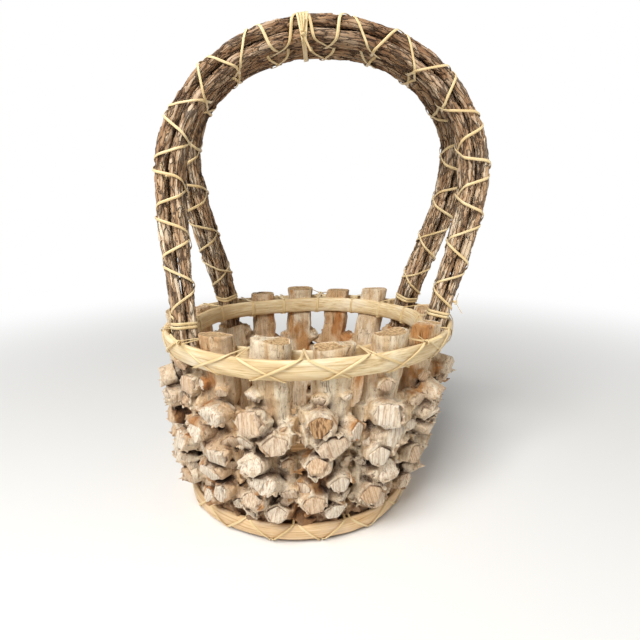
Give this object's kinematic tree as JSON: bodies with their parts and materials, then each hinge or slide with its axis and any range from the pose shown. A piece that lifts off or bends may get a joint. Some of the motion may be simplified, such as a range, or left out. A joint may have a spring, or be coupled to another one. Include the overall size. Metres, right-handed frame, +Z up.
{
  "type": "foraging basket",
  "caption": "Round rustic basket of knobbly upright root stakes lashed between split-cane hoops, with a tall handle of cane-bound vine rods whose arches meet at the crown.",
  "frame": {"origin": "middle of the base board's underside, on the plane that the basket stands on", "axes": "+Z up to the handle's crown; X along the handle's span, +X to the right; -Y is the front that faces the viewer"},
  "size_m": [0.3298, 0.2883, 0.4674],
  "materials": {
    "root_wood": "dry split root wood, sawn stubs, unvarnished",
    "split_cane": "smooth split cane, satin",
    "vine_bark": "rough fissured bark",
    "binding_cane": "thin peeled cane strip, satin",
    "board_wood": "plain dry board"
  },
  "bodies": {
    "root": {"back_arch_rod_1": "vine_bark", "back_arch_rod_2": "vine_bark", "back_arch_rod_3": "vine_bark", "back_arch_rod_4": "vine_bark", "back_arch_wrap_over": "binding_cane", "back_arch_wrap_under": "binding_cane", "back_left_foot_tie": "binding_cane", "back_right_foot_tie": "binding_cane", "base_board": "board_wood", "base_inner_hoop": "split_cane", "base_lashing": "binding_cane", "base_outer_hoop": "split_cane", "crown_tie": "binding_cane", "front_arch_rod_1": "vine_bark", "front_arch_rod_2": "vine_bark", "front_arch_rod_3": "vine_bark", "front_arch_rod_4": "vine_bark", "front_arch_wrap_over": "binding_cane", "front_arch_wrap_under": "binding_cane", "front_left_foot_tie": "binding_cane", "front_right_foot_tie": "binding_cane", "rim_inner_hoop": "split_cane", "rim_lashing_over": "binding_cane", "rim_lashing_under": "binding_cane", "rim_outer_hoop": "split_cane", "short_stake_1": "root_wood", "short_stake_2": "root_wood", "short_stake_3": "root_wood", "short_stake_4": "root_wood", "stake_01": "root_wood", "stake_02": "root_wood", "stake_03": "root_wood", "stake_04": "root_wood", "stake_05": "root_wood", "stake_06": "root_wood", "stake_07": "root_wood", "stake_08": "root_wood", "stake_09": "root_wood", "stake_10": "root_wood", "stake_11": "root_wood", "stake_12": "root_wood"}
  },
  "joints": []
}
